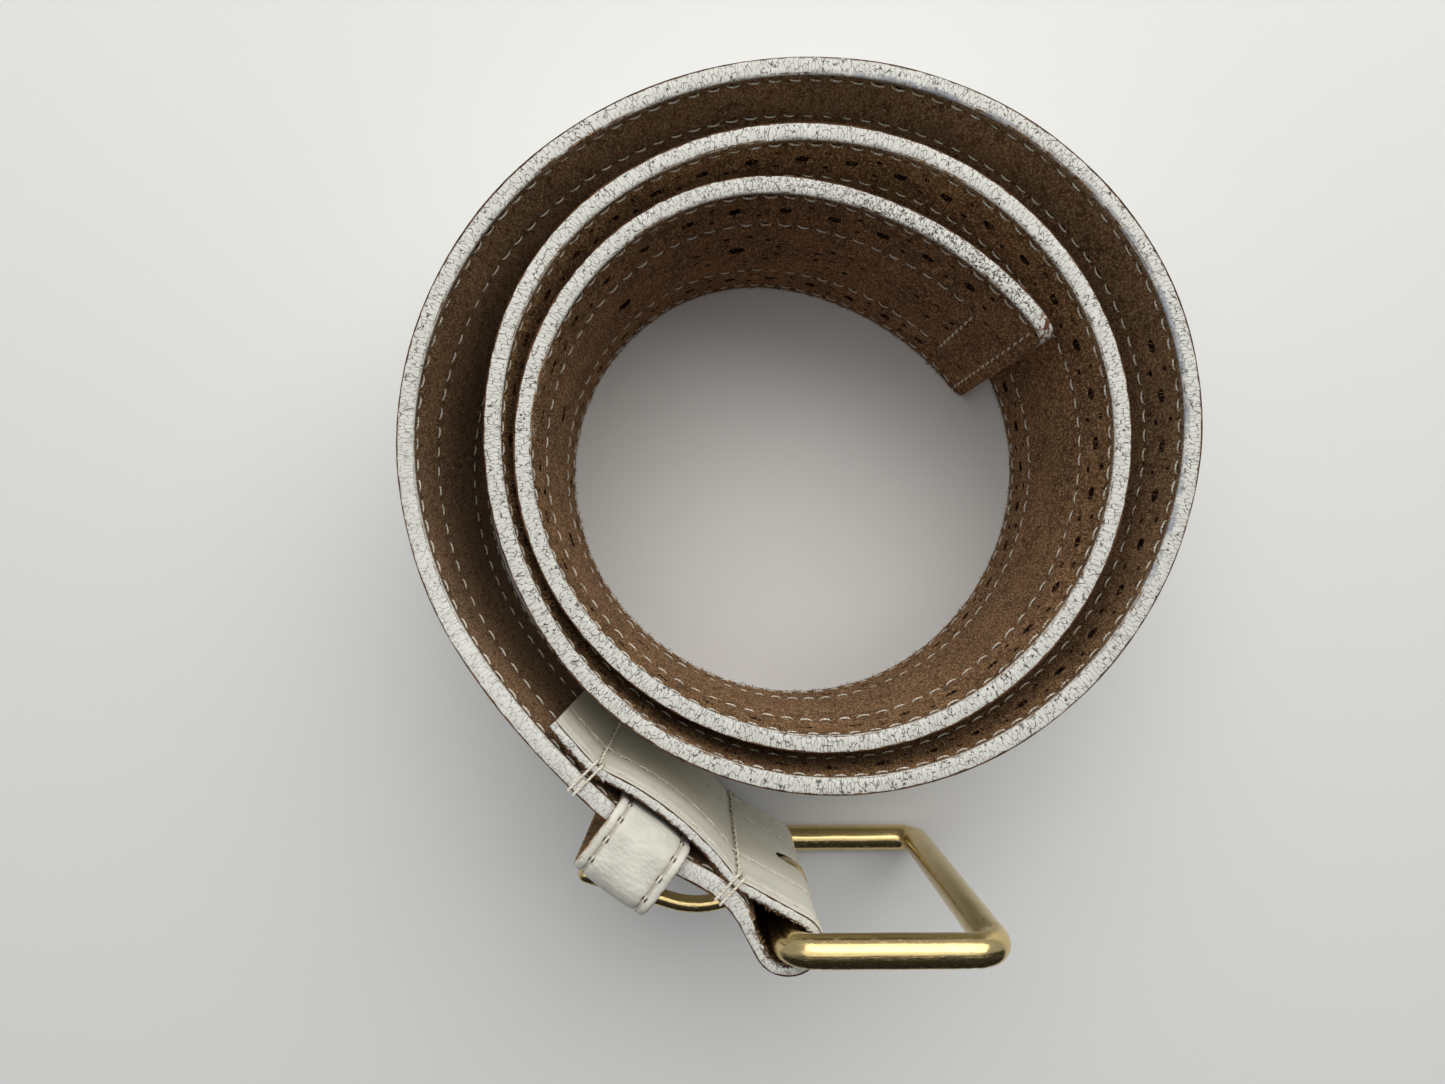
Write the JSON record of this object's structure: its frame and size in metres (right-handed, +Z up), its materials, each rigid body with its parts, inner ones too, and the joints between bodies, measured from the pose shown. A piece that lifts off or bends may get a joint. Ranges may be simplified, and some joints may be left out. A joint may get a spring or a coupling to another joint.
{
  "type": "rolled waist belt",
  "caption": "Wide stitched leather waist belt, rolled up and standing on its long edge, with a wire buckle frame, swinging prong and sliding keeper loop.",
  "frame": {"origin": "centre of the belt's footprint on the surface that it stands on", "axes": "+Z up along the strap's width; +Y from the buckle towards the far side of the roll; +X the way the buckle frame points from its bar"},
  "size_m": [0.1278, 0.1432, 0.0716],
  "materials": {
    "white_leather": "satin, fine grain, crackled edge paint",
    "suede_lining": "matte brushed suede",
    "thread": "twisted thread, matte",
    "brass": "polished, lightly scratched"
  },
  "bodies": {
    "strap": {"face_leather": "white_leather", "lining_suede": "suede_lining", "stitch_row_bottom": "thread", "stitch_row_low": "thread", "stitch_row_high": "thread", "stitch_row_top": "thread", "tip_end_stitch": "thread", "tip_cross_stitch": "thread", "tail_stitch_far": "thread", "tail_stitch_near": "thread"},
    "buckle": {"buckle_frame": "brass"},
    "tongue": {"prong": "brass"},
    "keeper": {"keeper_leather": "white_leather", "keeper_lining": "suede_lining", "keeper_row_left": "thread", "keeper_row_right": "thread", "keeper_seam": "thread"}
  },
  "joints": [
    {"name": "frame_pivot", "type": "hinge", "parent": "strap", "child": "buckle", "pos_m": [-0.0026, -0.0665, 0.0358], "axis": [0, 0, 1], "range_deg": [-140, 38]},
    {"name": "prong_pivot", "type": "hinge", "parent": "strap", "child": "tongue", "pos_m": [-0.0026, -0.0665, 0.0358], "axis": [0, 0, 1], "range_deg": [-6, 173]},
    {"name": "keeper_slide", "type": "slide", "parent": "strap", "child": "keeper", "axis": [0.8007, -0.599, 0], "range_m": [-0.0023, 0.0023]}
  ]
}
